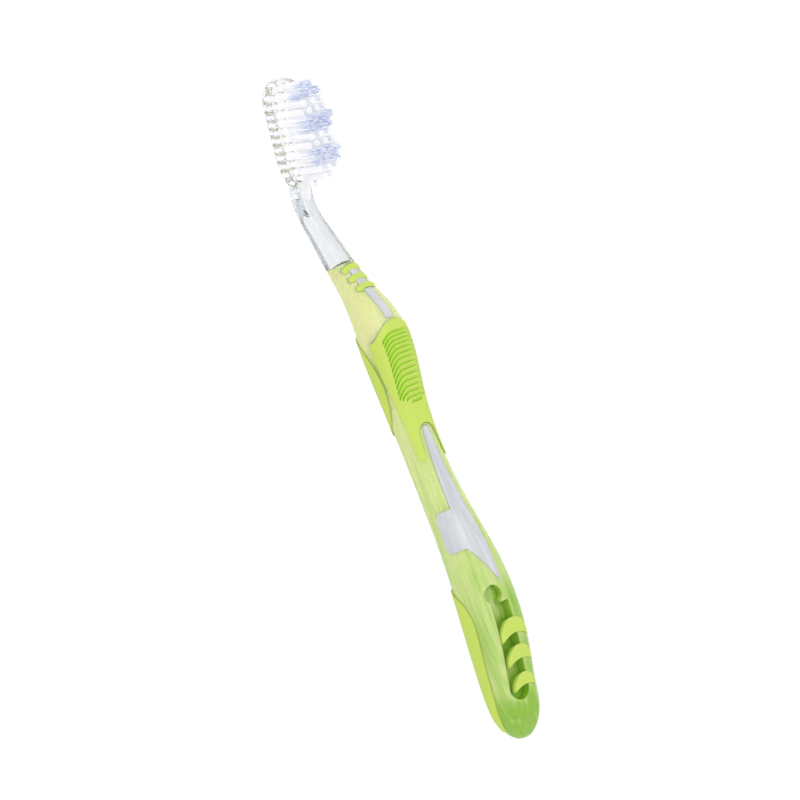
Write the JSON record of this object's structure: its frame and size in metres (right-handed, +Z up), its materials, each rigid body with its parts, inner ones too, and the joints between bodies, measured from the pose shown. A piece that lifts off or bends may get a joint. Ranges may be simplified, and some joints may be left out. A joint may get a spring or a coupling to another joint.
{
  "type": "toothbrush",
  "caption": "Manual toothbrush with a clear head and neck, a translucent green handle, soft-touch grip pads and alternating bands of blue and white tufts.",
  "frame": {"origin": "on the surface that the brush lies on, under the middle of its length", "axes": "+Z up, towards the bristle side; -X along the brush towards the head, +X towards the tail"},
  "size_m": [0.1903, 0.016, 0.0226],
  "materials": {
    "clear_plastic": "polished, crystal clear",
    "green_plastic": "polished, translucent",
    "soft_grip": "satin soft-touch elastomer",
    "blue_bristle": "nylon filaments, crimped",
    "white_bristle": "nylon filaments, smooth",
    "anchor_brass": "plain sheet"
  },
  "bodies": {
    "root": {"blue_tuft_01_1": "blue_bristle", "blue_tuft_01_2": "blue_bristle", "blue_tuft_02_1": "blue_bristle", "blue_tuft_02_2": "blue_bristle", "blue_tuft_02_3": "blue_bristle", "blue_tuft_05_1": "blue_bristle", "blue_tuft_05_2": "blue_bristle", "blue_tuft_05_3": "blue_bristle", "blue_tuft_05_4": "blue_bristle", "blue_tuft_06_1": "blue_bristle", "blue_tuft_06_2": "blue_bristle", "blue_tuft_06_3": "blue_bristle", "blue_tuft_09_1": "blue_bristle", "blue_tuft_09_2": "blue_bristle", "blue_tuft_09_3": "blue_bristle", "blue_tuft_09_4": "blue_bristle", "blue_tuft_10_1": "blue_bristle", "blue_tuft_10_2": "blue_bristle", "blue_tuft_10_3": "blue_bristle", "clear_core": "clear_plastic", "green_body": "green_plastic", "lower_back_grip": "soft_grip", "neck_band_1": "soft_grip", "neck_band_2": "soft_grip", "neck_band_3": "soft_grip", "tail_pad_1": "soft_grip", "tail_pad_2": "soft_grip", "tail_pad_3": "soft_grip", "thumb_pad": "soft_grip", "tuft_anchors": "anchor_brass", "upper_back_grip": "soft_grip", "white_tuft_03_1": "white_bristle", "white_tuft_03_2": "white_bristle", "white_tuft_03_3": "white_bristle", "white_tuft_04_1": "white_bristle", "white_tuft_04_2": "white_bristle", "white_tuft_04_3": "white_bristle", "white_tuft_04_4": "white_bristle", "white_tuft_07_1": "white_bristle", "white_tuft_07_2": "white_bristle", "white_tuft_07_3": "white_bristle", "white_tuft_08_1": "white_bristle", "white_tuft_08_2": "white_bristle", "white_tuft_08_3": "white_bristle", "white_tuft_08_4": "white_bristle", "white_tuft_11_1": "white_bristle", "white_tuft_11_2": "white_bristle", "white_tuft_11_3": "white_bristle", "white_tuft_12_1": "white_bristle", "white_tuft_12_2": "white_bristle"}
  },
  "joints": []
}
